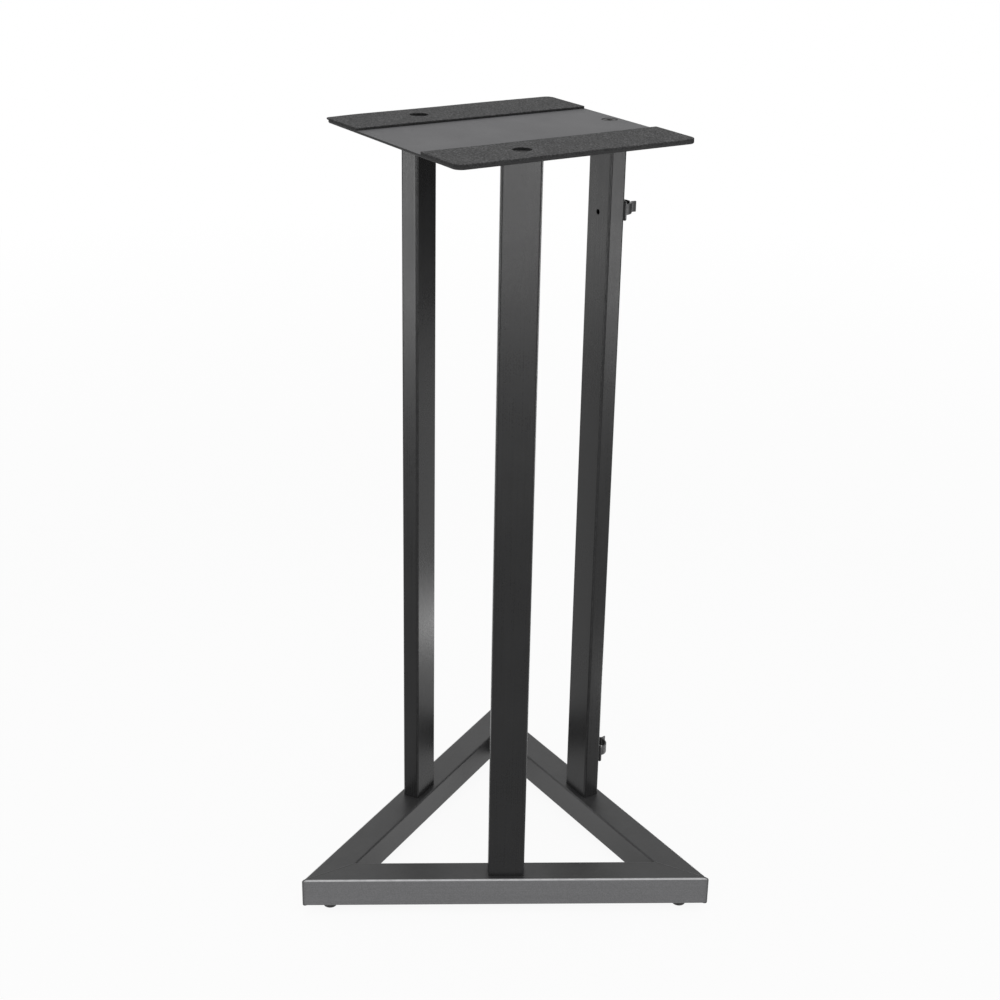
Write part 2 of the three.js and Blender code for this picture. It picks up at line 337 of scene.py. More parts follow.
def makePeelGroup():
    # fine orange peel of a sprayed coat: two sizes of noise, as a height and as tones
    group, start, end = newGroup(
        "coatPeel", {"Grain Scale": 900.0, "Cloud Scale": 14.0}, ["Height", "Tone", "Cloud"])
    vector = start.outputs["Vector"]
    grain = noiseNode(group, vector, start.outputs["Grain Scale"], *peelPattern["grain"])
    cloud = noiseNode(group, vector, start.outputs["Cloud Scale"], *peelPattern["cloud"])
    for label, noise, limits in (("Height", grain, "height"), ("Tone", grain, "tone"),
                                 ("Cloud", cloud, "cloudLimits")):
        group.links.new(rangeNode(group, noise, *peelPattern[limits]), end.inputs[label])
    return group


dustPattern = {
    "facing": (0.6, 1.0), "patches": (38.0, 5.0, 0.65), "patchLimits": (0.4, 0.75),
    "specks": (700.0, 1.0, 0.5), "speckLimits": (0.62, 0.7),
}


def makeDustGroup():
    # dust that settles on faces looking up, broken by noise
    group, start, end = newGroup("settledDust", {"Amount": 0.3}, ["Mask"])
    vector = start.outputs["Vector"]
    patches = noiseMask(group, vector, dustPattern["patches"], dustPattern["patchLimits"])
    specks = noiseMask(group, vector, dustPattern["specks"], dustPattern["speckLimits"])
    both = mathNode(group, "MAXIMUM", patches, specks)
    up = facingUp(group, *dustPattern["facing"])
    group.links.new(productNode(group, both, up, start.outputs["Amount"]), end.inputs["Mask"])
    return group


topLightPattern = {"facing": (0.55, 0.97), "cloud": (21.0, 3.0, 0.5), "cloudLimits": (0.3, 0.7, 0.86, 1.0)}


def makeTopLightGroup():
    # painted light from above: faces that look up are painted greyer than the sides, broken by clouds
    group, start, end = newGroup("paintedTopLightMask", {"Amount": 1.0}, ["Mask"])
    cloud = noiseMask(group, start.outputs["Vector"], topLightPattern["cloud"], topLightPattern["cloudLimits"])
    up = facingUp(group, *topLightPattern["facing"])
    group.links.new(productNode(group, up, cloud, start.outputs["Amount"]), end.inputs["Mask"])
    return group


wearPattern = {"edge": (0.35, 1.1, 1.0, 0.0), "noise": (120.0, 4.0, 0.6), "noiseLimits": (0.35, 0.7)}


def makeTubeWearGroup():
    # wear along the long edges of a tube: where the point lies near two faces of its section at once
    group, start, end = newGroup(
        "tubeEdgeWear", {"Half Width": 0.019, "Half Depth": 0.0095, "Reach": 0.0012}, ["Mask"])
    axes = axesOf(group, start.outputs["Vector"])
    near = []
    for axis, half in (("X", "Half Width"), ("Y", "Half Depth")):
        gap = mathNode(group, "SUBTRACT", start.outputs[half], mathNode(group, "ABSOLUTE", axes[axis]))
        near.append(mathNode(group, "DIVIDE", gap, start.outputs["Reach"]))
    edge = rangeNode(group, mathNode(group, "MAXIMUM", *near), *wearPattern["edge"])
    broken = noiseMask(group, start.outputs["Vector"], wearPattern["noise"], wearPattern["noiseLimits"])
    group.links.new(productNode(group, edge, broken), end.inputs["Mask"])
    return group


drawnPattern = {"stretch": (640, 640, 5), "noise": (1.0, 2.0, 0.6), "limits": (0.3, 0.7)}


def makeDrawnGroup():
    # faint lines left by drawing the tube: noise stretched more than a hundredfold along local Z
    group, start, end = newGroup("drawnLines", {}, ["Lines"])
    stretch = addNode(group, "ShaderNodeMapping")
    stretch.inputs["Scale"].default_value = drawnPattern["stretch"]
    group.links.new(start.outputs["Vector"], stretch.inputs["Vector"])
    lines = noiseMask(group, stretch.outputs["Vector"], drawnPattern["noise"], drawnPattern["limits"])
    group.links.new(lines, end.inputs["Lines"])
    return group


peelGroup = makePeelGroup()
dustGroup = makeDustGroup()
drawnGroup = makeDrawnGroup()
topLightGroup = makeTopLightGroup()
tubeWearGroup = makeTubeWearGroup()
print("scene: shader groups are ready")


def useGroup(tree, group, vector, values=None):
    node = addNode(tree, "ShaderNodeGroup", node_tree=group)
    tree.links.new(vector, node.inputs["Vector"])
    for label, value in (values or {}).items():
        node.inputs[label].default_value = value
    return node.outputs


def usePeel(tree, place, look):
    scales = {"Grain Scale": look["grainScale"], "Cloud Scale": look["cloudScale"]}
    return useGroup(tree, peelGroup, place, scales)


def useDust(tree, place, look):
    return useGroup(tree, dustGroup, place, {"Amount": look["dustAmount"]})["Mask"]


def newMaterial(name, look):
    # a Principled shader whose uniform numbers sit on its own sockets
    material = bpy.data.materials.new(name)
    material.use_nodes = True
    tree = material.node_tree
    shader = tree.nodes["Principled BSDF"]
    shader.inputs["Metallic"].default_value = look.get("metallic", 0.0)
    shader.inputs["Specular IOR Level"].default_value = look.get("specular", 0.5)
    place = addNode(tree, "ShaderNodeTexCoord").outputs["Object"]
    return material, tree, shader, place


def dressShader(tree, shader, look, colour, rough, height):
    # colour, roughness and a bump's height go into the shader
    bump = addNode(tree, "ShaderNodeBump")
    bump.inputs["Distance"].default_value = look["depth"]
    bump.inputs["Strength"].default_value = look["strength"]
    tree.links.new(height, bump.inputs["Height"])
    tree.links.new(colour, shader.inputs["Base Color"])
    tree.links.new(rough, shader.inputs["Roughness"])
    tree.links.new(bump.outputs["Normal"], shader.inputs["Normal"])


def alongTube(tree, place, centre, degrees, lying):
    # Object coordinates moved to a tube's middle, with X and Y across it and Z along it
    node = addNode(tree, "ShaderNodeMapping", vector_type="TEXTURE")
    tree.links.new(place, node.inputs["Vector"])
    node.inputs["Location"].default_value = centre
    node.inputs["Rotation"].default_value = (0, 0, math.radians(degrees))
    if not lying:
        return node.outputs["Vector"]
    apart = axesOf(tree, node.outputs["Vector"])
    together = addNode(tree, "ShaderNodeCombineXYZ")
    for old, new in (("Y", "X"), ("Z", "Y"), ("X", "Z")):
        tree.links.new(apart[old], together.inputs[new])
    return together.outputs["Vector"]


coat = {                            # satin black powder coat
    # worn is the grey of worn edges; on the rails' outer faces and on faces that look up it also stands as
    # painted light
    "dark": (0.0080, 0.0080, 0.0082), "light": (0.0130, 0.0130, 0.0134), "worn": (0.15, 0.15, 0.155),
    "dust": (0.22, 0.22, 0.22), "dustAmount": 0.05,
    "dustRough": 0.3,               # roughness that dust adds
    "rough": (0.24, 0.34), "specular": 0.177,
    "grainScale": 760.0, "cloudScale": 11.0, "depth": 0.05 * mm, "strength": 0.35,
    "grainShare": 0.4,              # share of fine grain in the tone, beside the clouds
    "lineShare": 0.3,               # share of drawn lines in a tube's tone
    "wear": 0.2,                    # share of wear on a tube's long edges
    "outerFaceLight": 0.0,                 # share of painted light on a rail's outer face, broken by fine noise
    "topLightShare": 0.0,                 # share of the paler tone painted on faces that look up, as light from above
}
coats = {
    "post": coat,
    "base_rail": {**coat, "dark": (0.0152, 0.0152, 0.0156), "light": (0.0243, 0.0243, 0.025),
                  "specular": 0.5, "rough": (0.40, 0.48), "strength": 0.2, "wear": 0.04, "outerFaceLight": 0.66,
                  # the grey and the share of a highlight painted along the rail's outer top edge
                  "paintedLight": (0.44, 0.44, 0.447), "paintedEdgeHighlight": 0.8},
    "top_plate": {**coat, "dark": (0.010, 0.010, 0.0103), "light": (0.017, 0.017, 0.0174),
                  "specular": 0.14, "rough": (0.50, 0.60), "topLightShare": 0.62},
}
railPaintedLight = {                         # where light is painted on a rail's outer face, and a highlight along its outer top edge
    "edge": (0.9 * mm, 1.9 * mm, 1.0, 0.0), "edgeNoise": (160.0, 3.0, 0.5),
    "edgeLimits": (0.3, 0.6, 0.75, 1.0), "faceStart": 0.9 * mm, "faceEnd": 0.2 * mm,
    "faceNoise": (900.0, 2.0, 0.5), "faceLimits": (0.3, 0.7, 0.6, 1.0), "lineLimits": (0.0, 1.0, 0.88, 1.0),
}


def paintedEdgeHighlight(tree, local, half, amount):
    # a highlight painted along the outer top edge of a rail: local X is outwards, local Y is up
    axes = axesOf(tree, local)
    gaps = [mathNode(tree, "SUBTRACT", half, axes[axis]) for axis in ("X", "Y")]
    near = rangeNode(tree, mathNode(tree, "MAXIMUM", *gaps), *railPaintedLight["edge"])
    broken = noiseMask(tree, local, railPaintedLight["edgeNoise"], railPaintedLight["edgeLimits"])
    return productNode(tree, near, broken, amount)


def outerFaceLightMask(tree, local, lines, half, amount):
    # painted light on a rail's outer face, broken by fine noise: local X is outwards
    outer = rangeNode(tree, axesOf(tree, local)["X"], half - railPaintedLight["faceStart"], half - railPaintedLight["faceEnd"])
    paintedLight = noiseMask(tree, local, railPaintedLight["faceNoise"], railPaintedLight["faceLimits"])
    drawn = rangeNode(tree, lines, *railPaintedLight["lineLimits"])
    return productNode(tree, paintedLight, drawn, outer, amount)


def coatMaterial(name, look, tube=None):
    # tube is (centre, turn in degrees, half width, half depth, whether it lies down)
    material, tree, shader, place = newMaterial(name, look)
    peel = usePeel(tree, place, look)
    dust = useDust(tree, place, look)
    tone = blendNode(tree, peel["Cloud"], peel["Tone"], look["grainShare"])
    if tube:
        centre, degrees, halfWidth, halfDepth, lying = tube
        local = alongTube(tree, place, centre, degrees, lying)
        lines = useGroup(tree, drawnGroup, local)["Lines"]
        tone = blendNode(tree, tone, lines, look["lineShare"])
    colour = mixColour(tree, tone, look["dark"], look["light"])
    if tube:
        wear = useGroup(tree, tubeWearGroup, local, {"Half Width": halfWidth, "Half Depth": halfDepth})
        colour = mixColour(tree, productNode(tree, wear["Mask"], look["wear"]), colour, look["worn"])
        # painted light on the outer face of a rail
        if look["outerFaceLight"]:
            outerFaceLit = outerFaceLightMask(tree, local, lines, halfWidth, look["outerFaceLight"])
            colour = mixColour(tree, outerFaceLit, colour, look["worn"])
            # a painted highlight along the outer top edge
            edge = paintedEdgeHighlight(tree, local, halfWidth, look["paintedEdgeHighlight"])
            colour = mixColour(tree, edge, colour, look["paintedLight"])
    # painted light from above on faces that look up
    if look["topLightShare"]:
        topLight = useGroup(tree, topLightGroup, place, {"Amount": look["topLightShare"]})
        colour = mixColour(tree, topLight["Mask"], colour, look["worn"])
    colour = mixColour(tree, dust, colour, look["dust"])
    rough = rangeNode(tree, tone, 0.0, 1.0, *look["rough"])
    dusty = mathNode(tree, "ADD", rough, mathNode(tree, "MULTIPLY", dust, look["dustRough"]), clamp=True)
    dressShader(tree, shader, look, colour, dusty, peel["Height"])
    return material


foamSheet = {                       # closed-cell rubber sheet with a fine open grain
    "dark": (0.009, 0.009, 0.0092), "light": (0.045, 0.045, 0.0457), "pale": (0.158, 0.158, 0.160),
    "dust": (0.16, 0.16, 0.16), "dustAmount": 0.06, "specular": 0.16, "rough": (0.75, 0.95),
    "grain": (410.0, 3.0, 0.7), "grainLimits": (0.3, 0.72), "cellScale": 533.0, "cellLimits": (0.15, 0.6),
    "cloud": (26.0, 3.0, 0.5), "cloudLimits": (0.3, 0.7, 0.75, 1.0), "depth": 0.5 * mm, "strength": 0.6,
}


def foamMaterial(name, look):
    # grain where the pits of the cells leave it; faces that look up are painted paler, as light from above
    material, tree, shader, place = newMaterial(name, look)
    cells = addNode(tree, "ShaderNodeTexVoronoi", feature="F1")
    cells.inputs["Scale"].default_value = look["cellScale"]
    tree.links.new(place, cells.inputs["Vector"])
    pits = rangeNode(tree, cells.outputs["Distance"], *look["cellLimits"])
    speckle = productNode(tree, noiseMask(tree, place, look["grain"], look["grainLimits"]), pits)
    cloud = noiseMask(tree, place, look["cloud"], look["cloudLimits"])
    # paler on faces that look up: painted light from above
    topLight = useGroup(tree, topLightGroup, place)
    paintedTopTone = mixColour(tree, topLight["Mask"], look["light"], look["pale"])
    colour = mixColour(tree, productNode(tree, speckle, cloud), look["dark"], paintedTopTone)
    colour = mixColour(tree, useDust(tree, place, look), colour, look["dust"])
    rough = rangeNode(tree, speckle, 0.0, 1.0, *look["rough"])
    dressShader(tree, shader, look, colour, rough, speckle)
    return material


plated = {"grainScale": 1600.0, "cloudScale": 160.0, "depth": 0.04 * mm, "strength": 0.4}
zinc = {**plated, "base": (0.56, 0.57, 0.58), "dull": (0.36, 0.37, 0.38), "metallic": 1.0,
        "rough": (0.28, 0.5)}
blackOxide = {**plated, "base": (0.018, 0.018, 0.0188), "dull": (0.038, 0.0373, 0.0366), "metallic": 0.3,
              "specular": 0.12, "rough": (0.42, 0.55)}


def metalMaterial(name, look):
    # plated or blackened metal: clouds of dull patches and a fine grain
    material, tree, shader, place = newMaterial(name, look)
    peel = usePeel(tree, place, look)
    colour = mixColour(tree, peel["Cloud"], look["base"], look["dull"])
    rough = rangeNode(tree, peel["Cloud"], 0.0, 1.0, *look["rough"])
    dressShader(tree, shader, look, colour, rough, peel["Height"])
    return material


moulded = {"cloudScale": 45.0, "strength": 0.5, "dust": (0.2, 0.2, 0.2), "dustAmount": 0.15}
rubber = {**moulded, "dark": (0.022, 0.022, 0.022), "light": (0.045, 0.044, 0.043), "specular": 0.35,
          "rough": (0.6, 0.85), "grainScale": 420.0, "depth": 0.12 * mm}
clipPlastic = {**moulded, "dark": (0.015, 0.015, 0.0157), "light": (0.030, 0.030, 0.0309), "specular": 0.4,
               "rough": (0.36, 0.48), "grainScale": 800.0, "depth": 0.03 * mm}
tapeFoam = {**moulded, "dark": (0.02, 0.02, 0.02), "light": (0.08, 0.08, 0.08), "specular": 0.2,
            "rough": (0.85, 1.0), "grainScale": 1500.0, "depth": 0.3 * mm}


def mouldedMaterial(name, look):
    # rubber, plastic or foam: one grain for tone, roughness and bump
    material, tree, shader, place = newMaterial(name, look)
    peel = usePeel(tree, place, look)
    colour = mixColour(tree, productNode(tree, peel["Tone"], peel["Cloud"]), look["dark"], look["light"])
    colour = mixColour(tree, useDust(tree, place, look), colour, look["dust"])
    rough = rangeNode(tree, peel["Tone"], 0.0, 1.0, *look["rough"])
    dressShader(tree, shader, look, colour, rough, peel["Height"])
    return material


sides = {"rear": 0.0, "right": -120.0, "left": 120.0}     # turn of each side of the triangle, degrees
tubeHalf = {"post": (19 * mm, 9.5 * mm), "base_rail": (16 * mm, 16 * mm)}     # half width, half depth
railMiddle = 25.3 * mm                                    # height of the rails' middle line
plateEdges = {"bevel": 0.2 * mm, "underRound": 1.1 * mm}


def dressSteel():
    for side, turn in sides.items():
        seat = middle(f"post_{side}")
        for kind, lying in (("post", False), ("base_rail", True)):
            centre = (seat.x, seat.y, railMiddle if lying else 0)
            tube = (centre, turn, *tubeHalf[kind], lying)
            finish = coatMaterial(f"coat_{kind}_{side}", coats[kind], tube)
            smoothCopy(f"{kind}_{side}", finish, "black_steel")
    smoothCopy("top_plate", coatMaterial("coatPlate", coats["top_plate"]), "black_steel", **plateEdges)


dressSteel()
foamFinish = foamMaterial("foamSheetFinish", foamSheet)
zincFinish = metalMaterial("zincFinish", zinc)
boltFinish = metalMaterial("blackOxideFinish", blackOxide)
rubberFinish = mouldedMaterial("footRubberFinish", rubber)
clipFinish = mouldedMaterial("clipPlasticFinish", clipPlastic)
tapeFinish = mouldedMaterial("foamTapeFinish", tapeFoam)
for word, finish in (("plug", zincFinish), ("washer", zincFinish), ("bolt", boltFinish),
                     ("screw", boltFinish), ("clip_tape", tapeFinish)):
    for name, node in nodes.items():
        if word in name:
            node.data.materials[0] = finish
print("scene: materials are on the steel, fasteners and tapes")


pad = {
    "height": 0.86,                 # share of the solid's thickness that the pressed sheet keeps
    "edgeRound": 0.9 * mm, "cornerRound": 9 * mm, "innerCorner": 0.8 * mm, "holeRadius": 9 * mm,
    "holeRound": 0.6 * mm, "topInset": 1.44 * mm, "underInset": 0.15 * mm,
    "crown": 0.22 * mm, "crownFade": 4.5 * mm,
    "wave": 0.07 * mm, "waves": ((61, 23, 0.0), (-19, 47, 1.3)),      # radians a metre in X and Y, start
    "tipLift": 0.35 * mm, "tipSink": 0.9 * mm, "tipReach": 22 * mm, "tipCorner": 4 * mm,
    "around": 320, "across": 14, "underSteps": 4, "edgeSteps": 4,
}


def padRings(low, high, hole, sideSign, worn):
    # The section starts on the hole's lower rim, climbs it, crosses the top to the outline,
    # goes down the side and comes back underneath. Every ring is the hole's circle, the
    # outline pushed inwards along its own normal, or a straight blend between the two.
    outer, inner = pad["cornerRound"], pad["innerCorner"]
    radii = [inner, outer, outer, inner] if sideSign > 0 else [outer, inner, inner, outer]
    if worn:
        radii[0] = pad["tipCorner"]
    corners = [(low.x, low.y), (high.x, low.y), (high.x, high.y), (low.x, high.y)]
    outline = outlinePoints(corners, radii, pad["around"])
    normal = outwardNormals(outline)
    angle = np.arctan2(outline[:, 1] - hole.y, outline[:, 0] - hole.x)
    circle = np.stack([np.cos(angle), np.sin(angle)], -1)
    centre = np.array([hole.x, hole.y])
    thickness = (high.z - low.z) * pad["height"]

    def holeRing(outset, height):
        return ringAt(centre + circle * (pad["holeRadius"] + outset), height)

    def edgeRing(inset, height):
        return ringAt(outline - normal * inset, height)

    rimInset, rimDrop = quarterRound(pad["holeRound"], pad["edgeSteps"])
    sideInset, sideDrop = quarterRound(pad["edgeRound"], pad["edgeSteps"])
    rings = [holeRing(0, 0.0), holeRing(0, thickness / 2)]
    rings += [holeRing(i, thickness - d) for i, d in zip(rimInset[::-1], rimDrop[::-1])]
    innerRing, outerRing = rings[-1], edgeRing(pad["topInset"], thickness)
    share = np.linspace(0, 1, pad["across"] + 2)[1:]
    rings += [innerRing * (1 - s) + outerRing * s for s in share]
    rings += [edgeRing(i, thickness - d) for i, d in zip(sideInset, sideDrop)]
    rings += [edgeRing(0, thickness / 2), edgeRing(pad["underInset"], 0.0)]
    under = edgeRing(pad["edgeRound"], 0.0)
    share = np.linspace(0, 1, pad["underSteps"], endpoint=False)
    rings += [under * (1 - s) + rings[0] * s for s in share]
    rings = np.array(rings)

    # crown: the top sinks towards the outline; wave: a slow unevenness of the sheet
    x, y, z = rings[..., 0], rings[..., 1], rings[..., 2]
    gap = np.minimum.reduce([x - low.x, high.x - x, y - low.y, high.y - y]).clip(0)
    top = z / thickness
    sink = pad["crown"] * np.exp(-gap / pad["crownFade"])
    wave = pad["wave"] * sum(np.sin(x * byX + y * byY + start) for byX, byY, start in pad["waves"])
    rings[..., 2] = z + top * (wave - sink)
    if worn:
        # the front tip has come unstuck: it lifts a little and is pressed thin
        near = np.exp(-(np.hypot(x - low.x, y - low.y) / pad["tipReach"]) ** 2)
        rings[..., 2] += near * (pad["tipLift"] - pad["tipSink"] * top)
    rings[..., 2] += low.z
    return rings


def makePads():
    for side, sideSign in (("left", -1), ("right", 1)):
        low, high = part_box(f"pad_{side}")
        skin = ringSkin(padRings(low, high, middle(f"post_{side}"), sideSign, side == "left"))
        piece = makePiece(f"padSheet_{side}", skin, foamFinish, [f"pad_{side}"],
                          sharpDegrees=50)


makePads()
print("scene: pads are laid")


screw = {
    "headRadius": 7.7 * mm, "land": 0.35 * mm, "rimRound": 0.9 * mm, "dish": 0.18 * mm,
    "socketFlats": 5 * mm, "socketDepth": 3 * mm, "socketChamfer": 0.5 * mm, "drillTip": 0.5 * mm,
    "shankRadius": 4 * mm, "length": 16 * mm, "endChamfer": 0.8 * mm, "pole": 0.05 * mm, "around": 72,
}


def screwRings(centre, top):
    # A profile turned about the screw's axis. Inside the head its rings are hexagons, whose
    # radius is the flat's distance over the cosine of the angle from the flat's middle.
    angle = roundTurn(screw["around"])
    sixth = math.pi / 3
    hexagon = 1 / np.cos((angle + sixth / 2) % sixth - sixth / 2)
    circle = np.ones_like(angle)
    head, shank, flats = screw["headRadius"], screw["shankRadius"], screw["socketFlats"] / 2
    depth, chamfer, rim = screw["socketDepth"], screw["socketChamfer"], screw["rimRound"]
    dish, land, pole = screw["dish"], screw["land"], screw["pole"]
    length, end = screw["length"], screw["endChamfer"]
    sections = [                                # radius, height below the top, the ring's form
        (pole, depth + screw["drillTip"], circle),
        (flats * 0.9, depth, hexagon),          # the socket's floor and walls
        (flats, depth - 0.1 * mm, hexagon),
        (flats, chamfer, hexagon),
        (flats + chamfer * 0.7, dish * 0.25 + 0.05 * mm, (hexagon + circle) / 2),
        (flats + chamfer * 1.3, dish, circle),  # the dished face
        (head - rim * 3, dish * 0.3, circle),
        (head - rim, 0.0, circle),              # the round rim, down to a narrow land
        (head - rim * 0.7, rim * 0.1, circle),
        (head - rim * 0.4, rim * 0.5, circle),
        (head - rim + land, rim, circle),
        (shank, head - shank + land, circle),   # under the cone, then the shank and its end
        (shank, length - end, circle),
        (shank - end, length, circle),
        (pole, length, circle)]
    return np.array([ringAt(np.column_stack([centre.x + radius * form * np.cos(angle),
                                             centre.y + radius * form * np.sin(angle)]), top - drop)
                     for radius, drop, form in sections])


def makeScrews():
    for side in sides:
        node = f"plate_screw_{side}"
        skin = closedSkin(screwRings(middle(node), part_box(node)[1].z))
        makePiece(f"headScrew_{side}", skin, boltFinish, [node], sharpDegrees=32)


makeScrews()
print("scene: plate screws are in")


clip = {
    "width": 37 * mm, "height": 20 * mm, "base": 2.2 * mm, "baseCorner": 2 * mm, "baseRound": 0.6 * mm,
    "armHeight": 11 * mm, "armThick": 1.6 * mm, "armRound": 0.45 * mm, "halfWidth": 12.5 * mm,
    "shoulder": 4.4 * mm, "rise": 10.7 * mm,
    "plainEnd": 97.0, "flareStart": 62.0,                 # degrees round the hoop where each arm ends
    "lip": 6.8 * mm, "lipLead": 0.4, "lipTip": (-0.1, 1.0), "lipTurn": (0.15, 0.5),     # shares of the lip
    "rootSunk": 0.6,                                      # share of the base that an arm reaches into
    "rootFlare": 1.1 * mm, "rootFade": 1.6 / 2.2 * mm, "rootTall": 0.6,
    "samples": (9, 49, 25), "steps": 90, "around": 56,    # points on leg, hoop and lip; rings; section
}


def armPath(endDegrees, lip):
    # a straight leg, a part of an ellipse and, where there is a lip, a cubic curve outwards
    half, rise, base = clip["halfWidth"], clip["rise"], clip["base"]
    legPoints, hoopPoints, lipPoints = clip["samples"]
    shoulder = base + clip["shoulder"]
    climb = np.linspace(base * (1 - clip["rootSunk"]), shoulder, legPoints)
    leg = np.column_stack([np.full(legPoints, half), climb])
    angle = np.linspace(0, math.radians(endDegrees), hoopPoints)[1:]
    hoop = np.column_stack([half * np.cos(angle), shoulder + rise * np.sin(angle)])
    parts = [leg, hoop]
    if lip:
        start = hoop[-1]
        along = np.array([-half * math.sin(angle[-1]), rise * math.cos(angle[-1])])
        turnIn = start + along / np.linalg.norm(along) * lip * clip["lipLead"]
        tip = start + np.array(clip["lipTip"]) * lip
        turnOut = tip - np.array(clip["lipTurn"]) * lip
        t = np.linspace(0, 1, lipPoints)[1:, None]
        parts.append((1 - t) ** 3 * start + 3 * (1 - t) ** 2 * t * turnIn
                     + 3 * (1 - t) * t ** 2 * turnOut + t ** 3 * tip)
    return evenPoints(np.vstack(parts), clip["steps"], closed=False)


def armSkin(endDegrees, lip, mirrored):
    # a rounded rectangle carried along the arm's path; it is thicker at the root and shrinks
    # over the last half millimetre, so that the end is round
    path, at = armPath(endDegrees, lip)
    along = np.gradient(path, axis=0)
    along /= np.linalg.norm(along, axis=1)[:, None]
    across = np.column_stack([-along[:, 1], along[:, 0]])
    thick, tall, edge = clip["armThick"], clip["armHeight"], clip["armRound"]
    section = outlinePoints(boxCorners(thick, tall), [edge] * 4, clip["around"])
    rise = (at - clip["base"] * clip["rootSunk"]).clip(0)
    root = clip["rootFlare"] * np.exp(-rise / clip["rootFade"])
    left = ((at[-1] - at) / edge).clip(0, 1)
    shrink = edge * (1 - np.sqrt(1 - (1 - left) ** 2))

    def carried(side, size, flare):
        return side * (1 + 2 * flare[:, None] / size) * (1 - 2 * shrink[:, None] / size)

    wide = carried(section[:, 0], thick, root)
    high = carried(section[:, 1], tall, root * clip["rootTall"])
    flat = path[:, None, :] + across[:, None, :] * wide[..., None]
    rings = np.stack([flat[..., 0] * (-1 if mirrored else 1), flat[..., 1], high], -1)
    return closedSkin(rings)


def slabSkin(width, height, depth, corner, edge, around=120, steps=4):
    # a rounded rectangle whose rings run from the back's middle over both rounded edges to the
    # front's middle; a ring is the outline pushed inwards along its normal
    outline = outlinePoints(boxCorners(width, height), [corner] * 4, around)
    normal = outwardNormals(outline)
    inset, drop = quarterRound(edge, steps)
    levels = [(outline - normal * i, d) for i, d in zip(inset, drop)]
    levels += [(flat, depth - d) for flat, d in levels[::-1]]
    levels = [(outline / 2, 0.0), *levels, (outline / 2, depth)]
    return closedSkin(np.array([ringAt(flat, level)[:, [0, 2, 1]] for flat, level in levels]))


def makeClips():
    for level, turn in (("upper", 1), ("lower", -1)):
        node = f"cable_clip_{level}"
        low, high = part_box(node)
        points, faces = joinSkins(
            slabSkin(clip["width"], clip["height"], clip["base"], clip["baseCorner"], clip["baseRound"]),
            armSkin(clip["flareStart"], clip["lip"], False), armSkin(clip["plainEnd"], 0, True))
        points = points * np.array([turn, 1, turn]) + np.array([0, low.y, (low.z + high.z) / 2])
        makePiece(f"hoopClip_{level}", (points, faces), clipFinish, [node],
                  sharpDegrees=40)


makeClips()
print("scene: cable clips are on")


foot = {
    "radius": 7.5 * mm, "taper": 0.25 * mm, "soleRound": 1.2 * mm, "soleSteps": 7, "flange": 9 * mm,
    "line": (0.60, 0.63, 0.66), "lineDepth": 0.25 * mm,   # a moulding line, in shares of the flange
    "rim": 0.5 * mm, "rimInset": 0.3 * mm, "stem": 3.5 * mm,
    "barb": 4.5 * mm, "barbLength": 4.0 * mm, "barbStep": 0.1 * mm, "barbTip": 2.5 * mm,
    "pole": 0.2 * mm, "around": 72,
}
baseCorners = ("front", "rear_left", "rear_right")       # each has a foot and a mitre


def footSkin(centre, top):
    # a profile turned about the foot's axis: a flat sole with a round edge, a slightly conical
    # side with a moulding line, then the stem and its barb inside the rail
    radius, flange, edge, stem = foot["radius"], foot["flange"], foot["soleRound"], foot["stem"]
    sole, side = radius - foot["taper"], radius - foot["taper"] * 0.4
    barb = top - foot["barbLength"]
    angle = np.linspace(-math.pi / 2, 0, foot["soleSteps"])
    lower, deepest, upper = (share * flange for share in foot["line"])
    profile = np.array([
        (foot["pole"], 0.0), *zip(sole - edge + edge * np.cos(angle), edge + edge * np.sin(angle)),
        (side, lower), (side - foot["lineDepth"], deepest), (side, upper),
        (radius, flange - foot["rim"]), (radius - foot["rimInset"], flange), (stem, flange),
        (stem, barb - foot["barbStep"]), (foot["barb"], barb), (foot["barbTip"], top), (foot["pole"], top)])
    turn = roundTurn(foot["around"])
    rings = np.stack([centre.x + profile[:, :1] * np.cos(turn), centre.y + profile[:, :1] * np.sin(turn),
                      np.repeat(profile[:, 1:], len(turn), 1)], -1)
    return closedSkin(rings)


def makeFeet():
    for corner in baseCorners:
        node = f"foot_{corner}"
        skin = footSkin(middle(node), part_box(node)[1].z)
        makePiece(f"rubberFoot_{corner}", skin, rubberFinish, [node], sharpDegrees=40)


makeFeet()
print("scene: feet are on")


weld = {
    "half": 0.9 * mm, "raise": 0.16 * mm, "sunk": 0.35 * mm, "tubeRound": 2.0 * mm,
    "mitreDegrees": 30,             # half of the angle between two rails
    "around": 260, "across": 12,
}


def weldSkin(tip, centre, low, high):
    # A flat lens carried round the mitre's outline. In the mitre's own plane the tube's section
    # is as tall as the tube and as long as the way from the inner to the outer corner.
    tip, centre = np.array(tip.xy), np.array(centre.xy)
    out = (tip - centre) / np.linalg.norm(tip - centre)
    side = np.array([-out[1], out[0]])
    width, stretch = 2 * tubeHalf["base_rail"][0], 1 / math.sin(math.radians(weld["mitreDegrees"]))
    section = outlinePoints(boxCorners(width, high - low), [weld["tubeRound"]] * 4, weld["around"])
    outline = section * np.array([stretch, 1])
    normal = outwardNormals(outline)
    seam = tip - out * width * stretch / 2
    angle = roundTurn(weld["across"])[:, None, None]
    push = np.sin(angle) * np.where(np.sin(angle) > 0, weld["raise"], weld["sunk"])
    flat = outline + normal * push
    place = seam + flat[..., :1] * out + np.cos(angle) * weld["half"] * side
    return ringSkin(np.concatenate([place, (low + high) / 2 + flat[..., 1:]], -1))


